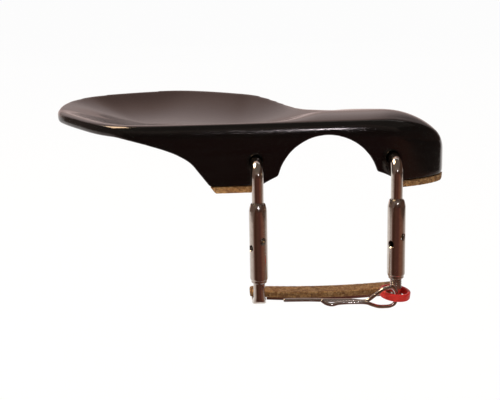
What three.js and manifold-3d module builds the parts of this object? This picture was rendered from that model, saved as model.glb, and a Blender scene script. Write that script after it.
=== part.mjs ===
// A violin chinrest that straddles the tailpiece, with its two-legged clamp, in millimetres.
// +Z is up from the instrument's top, +X runs along its end to the right, +Y runs into the instrument.
// The origin lies on the instrument's top edge, midway between the clamp legs.
import * as THREE from 'three';
import { mergeVertices } from 'three/addons/utils/BufferGeometryUtils.js';
import Module from 'manifold-3d';

// Wooden plate with its dished cup on the left and its arm on the right
const restHeight = 23.75;
const cupReach = 93.8;
const armReach = 43.6;
const cupDepth = 66;
const armDepth = 27;
const rimRadius = 1.5;
const armEdgeRadius = 2.6;
const rimWall = 4.2;
const plateThickness = 5.2;
const dishDrop = 6;
const cupFarRaise = 2.4;
const armCrown = 0.9;
const armRootRaise = 0.2;
const armFarDrop = 1.75;
const armEndDrop = 11;
const armEndRun = 22;

// Foot blocks, and the coves that run from them into the plate
const footDepth = 15;
const coveDepth = 15;
const coveTop = 18.6;
const leftFootEnd = 39.2;
const leftFlankReach = 74;
const leftFlankTop = 20.3;

// Arch over the tailpiece, wider at its back, and the relief beside it on each foot
const archRadius = 17.3;
const archOffset = 1.2;
const archTop = 19;
const archFlare = 4.2;
const leftCornerHeight = 5.3;
const rightCornerHeight = 5.9;
const leftReliefRun = 5.9;
const rightReliefRun = 7.4;

// Cork pads under the feet
const footCorkThickness = 2.3;
const leftCorkSlant = 1.8;
const rightCorkSlant = 0.6;
const corkInset = 0.4;

// Bent hooks of threaded rod, and the holes that hold them
const rodRadius = 2;
const legSpacing = 46.9;
const legReach = 7.35;
const hookHeight = 10.7;
const hookBendRadius = 4;
const hookInsert = 11;
const hookHoleDepth = 12;
const hookHoleClearance = 0.3;
const countersinkWidth = 0.6;
const hookEngagement = 12.6;

// Turnbuckle barrels with two crossed key holes
const barrelRadius = 3.07;
const barrelLength = 27.5;
const barrelDrop = 2.1;
const neckRadius = 2.7;
const neckHeight = 1;
const shoulderHeight = 0.7;
const shoulderInset = 0.2;
const boreClearance = 0.3;
const keyHoleRadius = 1;
const keyHoleSpacing = 2.5;
const leftBarrelTurn = 27;
const rightBarrelTurn = 42;

// Lower plate under the instrument's back, its cork and its studs
const clampGap = 34.3;
const lowerCorkThickness = 2.2;
const footPlateThickness = 0.9;
const footPlateSetback = 0.5;
const footPlateReach = 26.4;
const footPlateWidth = 7.4;
const footPlateForward = 6;
const frontBowRadius = 93;
const backBowRadius = 125;
const plateCornerRadius = 1.6;
const studEngagement = 8;
const studBendRadius = 2.6;
const studBendLead = 2.4;
const tongueThickness = 1.3;
const tongueWidth = 4.8;
const tongueLength = 6.5;
const tongueClearance = 0.3;

// Soft ring that hangs tilted round the right stud
const ringInnerRadius = 4.15;
const ringWall = 1.2;
const ringHeight = 2.6;
const ringEdgeRadius = 0.45;
const ringDrop = 34.65;
const ringForward = 1.6;
const ringLeft = 0.55;
const ringPitchAngle = 3.5;
const ringRollAngle = 7;

// Bent wire key, linked through the ring
const keyWireRadius = 0.63;
const keyReach = 38.4;
const keyStandOff = 4.75;
const keyRise = 3.7;

// Overrun of every cut past the wood that it leaves
const overrun = 6;

// Mesh fineness, in counts
const outlineSteps = 48;
const archSteps = 24;
const rimSteps = 4;
const rodSides = 16;
const bendSteps = 7;
const barrelSides = 32;
const ringSides = 40;
const wireHalfSides = 4;
const wireSteps = 84;

// Outline of the plate seen from above, as shares of the reach and depth of the cup or the arm
const cupTipShares = [-1, 0.62];
const armTipShares = [1, 0.54];
const cupFrontShares = [
  [-0.99, 0.54],
  [-0.966, 0.462],
  [-0.934, 0.379],
  [-0.905, 0.31],
  [-0.851, 0.189],
  [-0.804, 0.11],
  [-0.746, 0.046],
  [-0.66, 0.01],
  [-0.53, 0],
  [-0.38, 0],
  [-0.2, 0],
];
const armFrontShares = [
  [0, 0],
  [0.36, 0],
  [0.52, 0.015],
  [0.64, 0.052],
  [0.755, 0.12],
  [0.857, 0.212],
  [0.953, 0.356],
];
const armBackShares = [
  [0.984, 0.66],
  [0.92, 0.765],
  [0.81, 0.835],
  [0.66, 0.892],
  [0.48, 0.955],
  [0.32, 0.992],
  [0.19, 0.985],
  [0.1, 0.925],
  [0.02, 0.82],
];
const cupBackShares = [
  [-0.022, 0.335],
  [-0.048, 0.37],
  [-0.076, 0.438],
  [-0.115, 0.532],
  [-0.158, 0.627],
  [-0.203, 0.715],
  [-0.247, 0.784],
  [-0.294, 0.833],
  [-0.341, 0.879],
  [-0.389, 0.921],
  [-0.439, 0.957],
  [-0.488, 0.985],
  [-0.538, 1],
  [-0.61, 1],
  [-0.687, 0.986],
  [-0.785, 0.959],
  [-0.882, 0.92],
  [-0.927, 0.872],
  [-0.965, 0.81],
  [-0.991, 0.72],
];

// Line that the rings of the plate shrink to, as shares of reach and depth
const spineStartShares = [-0.62, 0.53];
const spineMiddleShares = [-0.21, 0.15];
const spineEndShares = [0.52, 0.48];
const spineLeadShare = 0.3;
const spineTailShare = 0.2;

// Where the cup's form fades into the arm's, as shares of the cup's reach
const cupFadeStartShare = -0.33;
const cupFadeRunShare = 0.36;

// Where the far rim drops from the cup's height to the arm's, and where the arm's far side has sunk
const farFadeStartShare = -0.225;
const farFadeRunShare = 0.18;
const armSinkShare = 0.55;

// Rings that spread over the plate from the rim inwards, as shares of the way
const spreadShares = [0, 0.05, 0.11, 0.18, 0.26, 0.35, 0.45, 0.56, 0.68, 0.8, 0.9, 1];

// Rounding of the plate's lower edge: inset and sink, as shares of the rim's radius
const lowerEdgeShares = [
  [0, 0.5],
  [0.4, 0.1],
];

// Curves of the left flank, the coves and the reliefs, as shares of their run and rise
const leftFlankShares = [
  [0.4, 0.14],
  [0.755, 0.36],
  [0.845, 0.6],
];
const coveShares = [
  [0.12, 0.55],
  [0.45, 0.9],
];
const leftReliefShares = [0.45, 0.7];
const rightReliefShares = [0.45, 0.8];

// Powers that ease the dish inwards, roll the arm's end over and lead into the far rim
const dishEasePower = 0.8;
const endRollPower = 1.75;
const farEasePower = 0.5;

// Route of the key's wire from the ring's middle: shares of its reach, stand-off and rise
const keyRouteShares = [
  [-1, -0.39, -0.15],
  [-0.76, -0.47, -0.07],
  [-0.575, -0.55, -0.17],
  [-0.4, -0.63, -0.2],
  [-0.27, -0.69, -0.27],
  [-0.195, -0.8, 0.3],
  [-0.125, -0.89, 0.84],
  [-0.081, -0.81, 0.93],
  [-0.042, -0.66, 0.87],
  [-0.01, -0.58, 0.52],
  [0.003, -0.56, 0.12],
  [0, -0.56, -0.37],
  [-0.018, -0.58, -0.74],
  [-0.052, -0.62, -0.93],
  [-0.096, -0.66, -1],
  [-0.164, -0.76, -0.86],
  [-0.219, -0.88, -0.66],
  [-0.271, -0.97, -0.55],
  [-0.375, -0.98, -0.47],
  [-0.518, -0.94, -0.5],
  [-0.58, -0.94, -0.52],
  [-0.63, -0.94, -0.31],
  [-0.675, -0.9, -0.02],
];

const wasm = await Module();
wasm.setup();

// Solids from closed geometries, and back again
function solidOf(geometry) {
  const plain = geometry.clone();
  plain.deleteAttribute('normal');
  plain.deleteAttribute('uv');
  const merged = mergeVertices(plain);
  const vertProperties = Float32Array.from(merged.attributes.position.array);
  const triVerts = Uint32Array.from(merged.index.array);
  return new wasm.Manifold(new wasm.Mesh({ numProp: 3, vertProperties, triVerts }));
}

function geometryOf(solid) {
  const mesh = solid.getMesh();
  const geometry = new THREE.BufferGeometry();
  geometry.setAttribute('position', new THREE.BufferAttribute(Float32Array.from(mesh.vertProperties), 3));
  geometry.setIndex(new THREE.BufferAttribute(Uint32Array.from(mesh.triVerts), 1));
  geometry.computeVertexNormals();
  return geometry;
}

// Triangles between each ring of points and the next
function bandsBetween(rings) {
  const count = rings[0].length;
  const index = [];
  for (let row = 0; row + 1 < rings.length; row += 1) {
    for (let i = 0; i < count; i += 1) {
      const a = row * count + i;
      const b = row * count + ((i + 1) % count);
      index.push(a, b, b + count);
      index.push(a, b + count, a + count);
    }
  }
  return index;
}

// Fans over the first and the last ring
function endFans(rings) {
  const count = rings[0].length;
  const last = (rings.length - 1) * count;
  const index = [];
  for (let i = 1; i + 1 < count; i += 1) {
    index.push(0, i + 1, i);
    index.push(last, last + i, last + i + 1);
  }
  return index;
}

// Merged triangles that face outwards, without those that have no area
function closedSkin(points, index) {
  const geometry = new THREE.BufferGeometry();
  geometry.setFromPoints(points);
  geometry.setIndex(index);
  const merged = mergeVertices(geometry);
  const place = merged.attributes.position;
  const source = merged.index.array;
  const kept = [];
  let volume = 0;
  const a = new THREE.Vector3();
  const b = new THREE.Vector3();
  const c = new THREE.Vector3();
  for (let i = 0; i < source.length; i += 3) {
    const [p, q, r] = [source[i], source[i + 1], source[i + 2]];
    if (p !== q && q !== r && r !== p) {
      kept.push(p, q, r);
      a.fromBufferAttribute(place, p);
      b.fromBufferAttribute(place, q);
      c.fromBufferAttribute(place, r);
      volume += a.dot(b.cross(c));
    }
  }
  if (volume < 0) {
    kept.reverse();
  }
  merged.setIndex(kept);
  merged.computeVertexNormals();
  return merged;
}

function cappedSkin(rings) {
  return closedSkin(rings.flat(), [...bandsBetween(rings), ...endFans(rings)]);
}

function shrunkSkin(rings) {
  return closedSkin(rings.flat(), bandsBetween(rings));
}

// An upright extrusion of a shape drawn in X and Y, from one height to another
function uprightPrism(shape, low, high, curveSegments) {
  const geometry = new THREE.ExtrudeGeometry(shape, { depth: high - low, bevelEnabled: false, curveSegments });
  geometry.translate(0, 0, low);
  return geometry;
}

// An extrusion along Y of a shape drawn in X and Z
function frontPrism(shape, near, far, curveSegments) {
  const geometry = new THREE.ExtrudeGeometry(shape, { depth: far - near, bevelEnabled: false, curveSegments });
  geometry.rotateX(Math.PI / 2);
  geometry.translate(0, far, 0);
  return geometry;
}

// An extrusion along X of a shape drawn in Y and Z
function sidePrism(shape, left, right, curveSegments) {
  const geometry = new THREE.ExtrudeGeometry(shape, { depth: right - left, bevelEnabled: false, curveSegments });
  geometry.rotateX(Math.PI / 2);
  geometry.rotateZ(Math.PI / 2);
  geometry.translate(left, 0, 0);
  return geometry;
}

// Points of the plate's outline
function onCup([x, y]) {
  return new THREE.Vector3(x * cupReach, y * cupDepth, 0);
}

function onArm([x, y]) {
  return new THREE.Vector3(x * armReach, y * armDepth, 0);
}

function spacedAlong(points) {
  return new THREE.CatmullRomCurve3(points).getSpacedPoints(outlineSteps);
}

const frontPoints = spacedAlong([
  onCup(cupTipShares), ...cupFrontShares.map(onCup), ...armFrontShares.map(onArm), onArm(armTipShares),
]);
const backPoints = spacedAlong([
  onArm(armTipShares), ...armBackShares.map(onArm), ...cupBackShares.map(onCup), onCup(cupTipShares),
]).reverse();
const spine = new THREE.QuadraticBezierCurve3(
  onCup(spineStartShares), onCup(spineMiddleShares), onArm(spineEndShares),
);
const cupFadeStart = cupFadeStartShare * cupReach;
const cupFadeRun = cupFadeRunShare * cupReach;
const farFadeStart = farFadeStartShare * cupReach;
const farFadeRun = farFadeRunShare * cupReach;
const armSinkRun = armSinkShare * armReach;

// Front face of the wood at a given X
function frontFaceAt(x) {
  const after = frontPoints.findIndex((point) => point.x > x);
  const before = frontPoints[after - 1];
  const share = (x - before.x) / (frontPoints[after].x - before.x);
  return before.y + share * (frontPoints[after].y - before.y);
}

function smooth(value) {
  const share = Math.min(1, Math.max(0, value));
  return share * share * (3 - 2 * share);
}

// One station of the outline: its place, its end on the spine, and the form of its section
function station(point, step, far) {
  const along = step / outlineSteps;
  const share = Math.min(1, Math.max(0, (along - spineLeadShare) / (1 - spineLeadShare - spineTailShare)));
  const inner = spine.getPoint(share);
  const cupShare = 1 - smooth((inner.x - cupFadeStart) / cupFadeRun);
  const edge = armEdgeRadius + (rimRadius - armEdgeRadius) * cupShare;
  const farShare = far ? smooth(Math.max(0, Math.sin(Math.PI * along)) ** farEasePower) : 0;
  const highShare = 1 - smooth((point.x - farFadeStart) / farFadeRun);
  const armRaise = armRootRaise - (armRootRaise + armFarDrop) * smooth(point.x / armSinkRun);
  const raise = farShare * (armRaise + (cupFarRaise - armRaise) * highShare);
  return { point, inner, edge, cupShare, raise };
}

const stations = [
  ...frontPoints.map((point, step) => station(point, step, false)),
  ...backPoints.map((point, step) => station(point, step, true)).reverse().slice(1, -1),
];

// A ring of the plate at an inset from its outline, with a height for each of its points
function ringAt(insetOf, heightOf) {
  return stations.map((place) => {
    const inward = place.inner.clone().sub(place.point);
    const length = inward.length();
    const spot = place.point.clone().addScaledVector(inward, insetOf(length, place.edge) / length);
    spot.z = heightOf(place, spot);
    return spot;
  });
}

function insetFor(share) {
  return (length, edge) => edge + share * (length - edge);
}

// How far the arm's end rolls down at a given X
function endDropAt(x) {
  const share = Math.min(1, Math.max(0, (x - armReach + armEndRun) / armEndRun));
  return armEndDrop * (1 - (1 - share ** endRollPower) ** (1 / endRollPower));
}

function topHeight(place, spot, share) {
  const edge = place.raise * (1 - smooth(share));
  const dish = dishDrop * place.cupShare * smooth(share ** dishEasePower);
  const crown = armCrown * (1 - place.cupShare) * (1 - (1 - share) ** 2);
  return restHeight + edge + crown - dish - endDropAt(spot.x);
}

function underHeight(place, spot, share) {
  const wall = rimWall + (plateThickness - rimWall) * smooth(share);
  return topHeight(place, spot, share) - wall;
}

// A column with the plate's top and its outline, straight down past the feet
function plateColumn() {
  const rings = spreadShares.map((share) => {
    return ringAt(insetFor(share), (place, spot) => topHeight(place, spot, share));
  });
  rings.reverse();
  for (let step = 1; step <= rimSteps; step += 1) {
    const angle = (1 - step / rimSteps) * Math.PI / 2;
    const insetShare = 1 - Math.cos(angle);
    const sinkShare = 1 - Math.sin(angle);
    rings.push(ringAt(
      (length, edge) => edge * insetShare,
      (place, spot) => topHeight(place, spot, 0) - place.edge * sinkShare,
    ));
  }
  rings.push(ringAt(() => 0, () => -overrun));
  rings.push(ringAt((length) => length, () => -overrun));
  return solidOf(shrunkSkin(rings));
}

// Everything above the plate's underside
function aboveUnderside() {
  const ceiling = restHeight + armCrown + cupFarRaise + overrun;
  const rings = [
    ringAt((length) => length, () => ceiling),
    ringAt(() => -overrun, () => ceiling),
    ringAt(() => -overrun, (place, spot) => underHeight(place, spot, 0) + rimRadius),
  ];
  for (const [inset, sink] of lowerEdgeShares) {
    rings.push(ringAt(
      () => rimRadius * inset,
      (place, spot) => underHeight(place, spot, 0) + rimRadius * sink,
    ));
  }
  for (const share of spreadShares) {
    rings.push(ringAt(insetFor(share), (place, spot) => underHeight(place, spot, share)));
  }
  return solidOf(shrunkSkin(rings));
}

// Corners between the arch and the relief of each foot
function cornerX(side, height) {
  const below = archTop - archRadius - height;
  return archOffset + side * Math.sqrt(archRadius ** 2 - below ** 2);
}

const leftCornerX = cornerX(-1, leftCornerHeight);
const rightCornerX = cornerX(1, rightCornerHeight);
const leftFootInner = leftCornerX - leftReliefRun;
const rightFootInner = rightCornerX + rightReliefRun;

// Foot blocks, drawn from the front
function footFrontShape() {
  const bottom = footCorkThickness;
  const ceiling = restHeight + overrun;
  const flankRun = leftFlankReach - leftFootEnd;
  const flankRise = leftFlankTop - bottom;
  const [leadOut, runIn, straight] = leftFlankShares.map(([run, fall]) => {
    return [-leftFlankReach + run * flankRun, leftFlankTop - fall * flankRise];
  });
  const shape = new THREE.Shape();
  shape.moveTo(-leftFlankReach, ceiling);
  shape.lineTo(-leftFlankReach, leftFlankTop);
  shape.bezierCurveTo(...leadOut, ...runIn, ...straight);
  shape.lineTo(-leftFootEnd, bottom);
  shape.lineTo(leftFootInner, bottom);
  shape.quadraticCurveTo(
    leftCornerX - leftReliefShares[0] * leftReliefRun,
    bottom + leftReliefShares[1] * (leftCornerHeight - bottom),
    leftCornerX, leftCornerHeight,
  );
  shape.lineTo(archOffset, archTop - archRadius + leftCornerHeight);
  shape.lineTo(rightCornerX, rightCornerHeight);
  shape.quadraticCurveTo(
    rightCornerX + rightReliefShares[0] * rightReliefRun,
    bottom + rightReliefShares[1] * (rightCornerHeight - bottom),
    rightFootInner, bottom,
  );
  shape.lineTo(armReach + overrun, bottom);
  shape.lineTo(armReach + overrun, ceiling);
  shape.closePath();
  return shape;
}

// The same blocks drawn from the side
function footSideShape() {
  const bottom = footCorkThickness;
  const ceiling = restHeight + overrun;
  const [out, up] = coveShares.map(([run, rise]) => {
    return [footDepth + run * coveDepth, bottom + rise * (coveTop - bottom)];
  });
  const shape = new THREE.Shape();
  shape.moveTo(-overrun, ceiling);
  shape.lineTo(-overrun, bottom);
  shape.lineTo(footDepth, bottom);
  shape.bezierCurveTo(...out, ...up, footDepth + coveDepth, coveTop);
  shape.lineTo(footDepth + coveDepth, ceiling);
  shape.closePath();
  return shape;
}

// The arch over the tailpiece: a level crown, and sides that open towards the back
function archCut() {
  const depth = footDepth + coveDepth;
  const rings = [-overrun, depth + overrun].map((y) => {
    const radius = archRadius + archFlare * (y / depth);
    const ring = [];
    for (let step = 0; step < 2 * archSteps; step += 1) {
      const angle = Math.PI * step / archSteps;
      const x = archOffset + radius * Math.cos(angle);
      const z = archTop - radius + radius * Math.sin(angle);
      ring.push(new THREE.Vector3(x, y, z));
    }
    return ring;
  });
  return solidOf(cappedSkin(rings));
}

// A blind hole for a hook, with its countersunk mouth, along Y
function hookHole(x) {
  const radius = rodRadius + hookHoleClearance;
  const profile = [
    new THREE.Vector2(0, -overrun),
    new THREE.Vector2(radius + countersinkWidth, -overrun),
    new THREE.Vector2(radius + countersinkWidth, 0),
    new THREE.Vector2(radius, countersinkWidth),
    new THREE.Vector2(radius, hookHoleDepth),
    new THREE.Vector2(0, hookHoleDepth),
  ];
  const geometry = new THREE.LatheGeometry(profile, rodSides * 2);
  geometry.translate(x, frontFaceAt(x), hookHeight);
  return solidOf(geometry);
}

const legX = legSpacing / 2;
const legY = frontFaceAt(-legX) - legReach;

const column = plateColumn();

function chinrestBody() {
  const blockFront = solidOf(frontPrism(footFrontShape(), -overrun, footDepth + coveDepth, archSteps));
  const blockSide = solidOf(sidePrism(footSideShape(), -cupReach, armReach + overrun, archSteps));
  const below = blockFront.intersect(blockSide).subtract(archCut());
  const whole = column.intersect(aboveUnderside().add(below));
  return whole.subtract(hookHole(-legX)).subtract(hookHole(legX));
}

// Cork pad under a foot, its outer end cut on a slant
function footCork(inner, outer, slant) {
  const side = Math.sign(outer);
  const shape = new THREE.Shape();
  shape.moveTo(inner, 0);
  shape.lineTo(outer - side * slant, 0);
  shape.lineTo(outer, footCorkThickness);
  shape.lineTo(inner, footCorkThickness);
  shape.closePath();
  const strip = solidOf(frontPrism(shape, -overrun, footDepth - corkInset, 1));
  return column.intersect(strip);
}

// A rod along a row of places, each with its own half width, half thickness and squareness
function sweepRod(places) {
  const rings = places.map(({ centre, up, halfWidth, halfThickness, squareness }) => {
    const ring = [];
    for (let i = 0; i < rodSides; i += 1) {
      const angle = 2 * Math.PI * (i + 1 / 2) / rodSides;
      const cos = Math.cos(angle);
      const sin = Math.sin(angle);
      const reach = Math.max(Math.abs(cos), Math.abs(sin)) / Math.cos(Math.PI / rodSides);
      const boxed = 1 + squareness * (1 / reach - 1);
      const spot = centre.clone();
      spot.x += halfWidth * cos * boxed;
      spot.addScaledVector(up, halfThickness * sin * boxed);
      ring.push(spot);
    }
    return ring;
  });
  return cappedSkin(rings);
}

function roundPlace(y, z, up) {
  return {
    centre: new THREE.Vector3(0, y, z), up, halfWidth: rodRadius, halfThickness: rodRadius, squareness: 0,
  };
}

// A hook: straight into the wood, a quarter bend, straight down into its barrel
function hookGeometry(x) {
  const places = [roundPlace(frontFaceAt(x) + hookInsert, hookHeight, new THREE.Vector3(0, 0, 1))];
  for (let step = 0; step <= bendSteps; step += 1) {
    const angle = (step / bendSteps) * Math.PI / 2;
    const y = legY + hookBendRadius * (1 - Math.sin(angle));
    const z = hookHeight - hookBendRadius * (1 - Math.cos(angle));
    places.push(roundPlace(y, z, new THREE.Vector3(0, -Math.sin(angle), Math.cos(angle))));
  }
  places.push(roundPlace(legY, -barrelDrop - hookEngagement, new THREE.Vector3(0, -1, 0)));
  return sweepRod(places);
}

// A barrel: necks, shoulders, a bore right through and two crossed key holes
function barrelGeometry() {
  const bore = rodRadius + boreClearance;
  const half = barrelLength / 2;
  const upperHalf = [
    new THREE.Vector2(barrelRadius, half - neckHeight - shoulderHeight),
    new THREE.Vector2(barrelRadius - shoulderInset, half - neckHeight - shoulderInset),
    new THREE.Vector2(neckRadius, half - neckHeight),
    new THREE.Vector2(neckRadius, half),
    new THREE.Vector2(bore, half),
  ];
  const lowerHalf = upperHalf.map((point) => new THREE.Vector2(point.x, -point.y)).reverse();
  const body = new THREE.LatheGeometry([...lowerHalf, ...upperHalf, lowerHalf[0]], barrelSides);
  body.rotateX(Math.PI / 2);
  const drill = new THREE.CylinderGeometry(keyHoleRadius, keyHoleRadius, 4 * barrelRadius, rodSides);
  const upper = drill.clone();
  upper.translate(0, 0, keyHoleSpacing / 2);
  const lower = drill.clone();
  lower.rotateZ(Math.PI / 2);
  lower.translate(0, 0, -keyHoleSpacing / 2);
  return geometryOf(solidOf(body).subtract(solidOf(upper)).subtract(solidOf(lower)));
}

// Heights of the lower parts when the clamp stands as in use
const lowerCorkTop = -clampGap;
const footPlateTop = lowerCorkTop - lowerCorkThickness;
const tongueMiddle = footPlateTop - tongueThickness / 2;
const barrelBottom = -barrelDrop - barrelLength;
const barrelMiddle = -barrelDrop - barrelLength / 2;
const tongueStart = legY + studBendRadius;

// A stud: threaded rod up in its barrel, its lower end forged to a flat tongue that turns back
function studGeometry() {
  const bendTop = tongueMiddle + studBendRadius;
  const places = [
    roundPlace(legY, barrelBottom + studEngagement, new THREE.Vector3(0, -1, 0)),
    roundPlace(legY, bendTop + studBendLead, new THREE.Vector3(0, -1, 0)),
  ];
  for (let step = 0; step <= bendSteps; step += 1) {
    const share = step / bendSteps;
    const angle = share * Math.PI / 2;
    const flat = smooth(share);
    const y = tongueStart - studBendRadius * Math.cos(angle);
    const z = bendTop - studBendRadius * Math.sin(angle);
    places.push({
      centre: new THREE.Vector3(0, y, z),
      up: new THREE.Vector3(0, -Math.cos(angle), -Math.sin(angle)),
      halfWidth: rodRadius + flat * (tongueWidth / 2 - rodRadius),
      halfThickness: rodRadius + flat * (tongueThickness / 2 - rodRadius),
      squareness: flat,
    });
  }
  const last = places[places.length - 1];
  places.push({ ...last, centre: new THREE.Vector3(0, tongueStart + tongueLength, tongueMiddle) });
  return sweepRod(places);
}

// Crescent of the lower plate and its cork, seen from above
function crescentShape(setback) {
  const reach = footPlateReach - setback;
  const frontRadius = frontBowRadius - setback;
  const frontCentre = frontBowRadius - footPlateForward;
  const backRadius = backBowRadius + setback;
  const backCentre = backBowRadius - footPlateForward + footPlateWidth;
  const frontAngle = Math.asin(reach / frontRadius);
  const backAngle = Math.asin((reach - plateCornerRadius) / backRadius);
  const frontEndY = frontCentre - frontRadius * Math.cos(frontAngle);
  const backEndY = backCentre - backRadius * Math.cos(backAngle);
  const down = -Math.PI / 2;
  const shape = new THREE.Shape();
  shape.absarc(0, frontCentre, frontRadius, down - frontAngle, down + frontAngle, false);
  shape.lineTo(reach, backEndY - plateCornerRadius);
  shape.quadraticCurveTo(reach, backEndY, reach - plateCornerRadius, backEndY);
  shape.absarc(0, backCentre, backRadius, down + backAngle, down - backAngle, true);
  shape.quadraticCurveTo(-reach, backEndY, -reach, backEndY - plateCornerRadius);
  shape.lineTo(-reach, frontEndY);
  shape.closePath();
  return shape;
}

function lowerCorkGeometry() {
  return uprightPrism(crescentShape(0), footPlateTop, lowerCorkTop, archSteps);
}

function footPlateGeometry() {
  const outline = crescentShape(footPlateSetback);
  let plate = solidOf(uprightPrism(outline, footPlateTop - footPlateThickness, footPlateTop, archSteps));
  const far = tongueStart + tongueLength + tongueClearance;
  for (const side of [-1, 1]) {
    const notch = new THREE.BoxGeometry(tongueWidth + 2 * tongueClearance, far - legY, overrun);
    notch.translate(side * legX, (legY + far) / 2, footPlateTop);
    plate = plate.subtract(solidOf(notch));
  }
  return geometryOf(plate);
}

// Soft ring, turned about Z
function ringGeometry() {
  const inner = ringInnerRadius;
  const outer = ringInnerRadius + ringWall;
  const half = ringHeight / 2;
  const edge = ringEdgeRadius;
  const profile = [
    new THREE.Vector2(inner, -half + edge),
    new THREE.Vector2(inner + edge, -half),
    new THREE.Vector2(outer - edge, -half),
    new THREE.Vector2(outer, -half + edge),
    new THREE.Vector2(outer, half - edge),
    new THREE.Vector2(outer - edge, half),
    new THREE.Vector2(inner + edge, half),
    new THREE.Vector2(inner, half - edge),
    new THREE.Vector2(inner, -half + edge),
  ];
  const geometry = new THREE.LatheGeometry(profile, ringSides);
  geometry.rotateX(Math.PI / 2);
  return geometry;
}

function keyGeometry() {
  const points = keyRouteShares.map(([x, y, z]) => {
    return new THREE.Vector3(x * keyReach, y * keyStandOff, z * keyRise);
  });
  const section = new THREE.Shape();
  section.absarc(0, 0, keyWireRadius, 0, 2 * Math.PI, false);
  return new THREE.ExtrudeGeometry(section, {
    steps: wireSteps,
    curveSegments: wireHalfSides,
    extrudePath: new THREE.CatmullRomCurve3(points),
    bevelEnabled: false,
  });
}

// Finishes
function finish(color, roughness, metalness) {
  return new THREE.MeshStandardMaterial({ color, roughness, metalness });
}

const ebony = () => finish(0x1a1614, 0.35, 0);
const cork = () => finish(0xa57846, 0.9, 0);
const nickel = () => finish(0xb9b4b0, 0.2, 1);
const softRed = () => finish(0xc8281e, 0.45, 0);

const chinrest = new THREE.Group();

function addPiece(parent, name, geometry, material) {
  const mesh = new THREE.Mesh(geometry, material);
  mesh.name = name;
  parent.add(mesh);
  return mesh;
}

// Wood and its foot corks
addPiece(chinrest, 'chinrest_body', geometryOf(chinrestBody()), ebony());
addPiece(chinrest, 'left_foot_cork', geometryOf(footCork(leftFootInner, -leftFootEnd, leftCorkSlant)), cork());
addPiece(chinrest, 'right_foot_cork', geometryOf(footCork(rightFootInner, armReach, rightCorkSlant)), cork());

// Hooks stay with the wood
for (const [name, side] of [['left_hook', -1], ['right_hook', 1]]) {
  const hook = addPiece(chinrest, name, hookGeometry(side * legX), nickel());
  hook.position.x = side * legX;
}

// Lower clamp unit with its barrels
const clamp = new THREE.Group();
chinrest.add(clamp);
for (const [name, side, turn] of [['left_barrel', -1, leftBarrelTurn], ['right_barrel', 1, rightBarrelTurn]]) {
  const barrel = addPiece(clamp, name, barrelGeometry(), nickel());
  barrel.position.set(side * legX, legY, barrelMiddle);
  barrel.rotation.z = THREE.MathUtils.degToRad(turn);
}
for (const [name, side] of [['left_lower_stud', -1], ['right_lower_stud', 1]]) {
  const stud = addPiece(clamp, name, studGeometry(), nickel());
  stud.position.x = side * legX;
}
addPiece(clamp, 'foot_plate', footPlateGeometry(), nickel());
addPiece(clamp, 'lower_cork', lowerCorkGeometry(), cork());

// Ring on the right stud, and the key that hangs on the ring
const ringPlace = new THREE.Vector3(legX - ringLeft, legY - ringForward, -ringDrop);
const ring = addPiece(clamp, 'key_ring', ringGeometry(), softRed());
ring.position.copy(ringPlace);
ring.rotation.set(THREE.MathUtils.degToRad(ringPitchAngle), THREE.MathUtils.degToRad(ringRollAngle), 0);
const key = addPiece(clamp, 'barrel_key', keyGeometry(), nickel());
key.position.copy(ringPlace);

export default chinrest;
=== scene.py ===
import math

import bmesh
import bpy
from mathutils import Matrix, Vector, noise


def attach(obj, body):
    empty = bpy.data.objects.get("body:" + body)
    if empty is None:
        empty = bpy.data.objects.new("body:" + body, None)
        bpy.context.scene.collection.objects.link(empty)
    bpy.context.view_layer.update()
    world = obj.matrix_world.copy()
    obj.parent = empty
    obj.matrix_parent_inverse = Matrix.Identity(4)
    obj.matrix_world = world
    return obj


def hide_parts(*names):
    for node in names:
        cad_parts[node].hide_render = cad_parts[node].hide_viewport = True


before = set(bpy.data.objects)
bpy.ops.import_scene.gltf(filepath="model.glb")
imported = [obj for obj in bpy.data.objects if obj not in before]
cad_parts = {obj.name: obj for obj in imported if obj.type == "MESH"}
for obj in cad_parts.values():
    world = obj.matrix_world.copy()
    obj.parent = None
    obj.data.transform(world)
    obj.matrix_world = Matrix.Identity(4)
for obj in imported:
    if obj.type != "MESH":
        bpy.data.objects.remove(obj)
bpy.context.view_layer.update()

# Lengths below are millimetres, except in the studio; the meshes are in metres.
MM = 0.001

# The carved plate: heights, reaches and depths of its cup on the left and its arm on the right
REST_HEIGHT = 23.75
CUP_REACH = 93.8
ARM_REACH = 43.6
CUP_DEPTH = 66
ARM_DEPTH = 27
RIM_RADIUS = 1.5
ARM_EDGE = 2.6
RIM_WALL = 4.2
PLATE_THICKNESS = 5.2
DISH_DROP = 6
CUP_FAR_RAISE = 2.4
ARM_CROWN = 1.5
ARM_ROOT_RAISE = 0.2
ARM_FAR_DROP = 1.75
ARM_END_DROP = 11
ARM_END_RUN = 22

# The front edge's long rounding, inwards and down, each for the cup and the arm, and where it fades along X
FRONT_EDGE = (2.3, 2.2)
FRONT_FALL = (5, 6)
FRONT_START, FRONT_START_RUN = -86, 34
FRONT_END, FRONT_END_RUN = 34, 9
SHOULDER_EDGE = 2
SHOULDER_START, SHOULDER_RUN = 14, 18
# The underside's rim is rounded less in height than in width
UNDER_RIM_SHARE = 0.6

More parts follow.
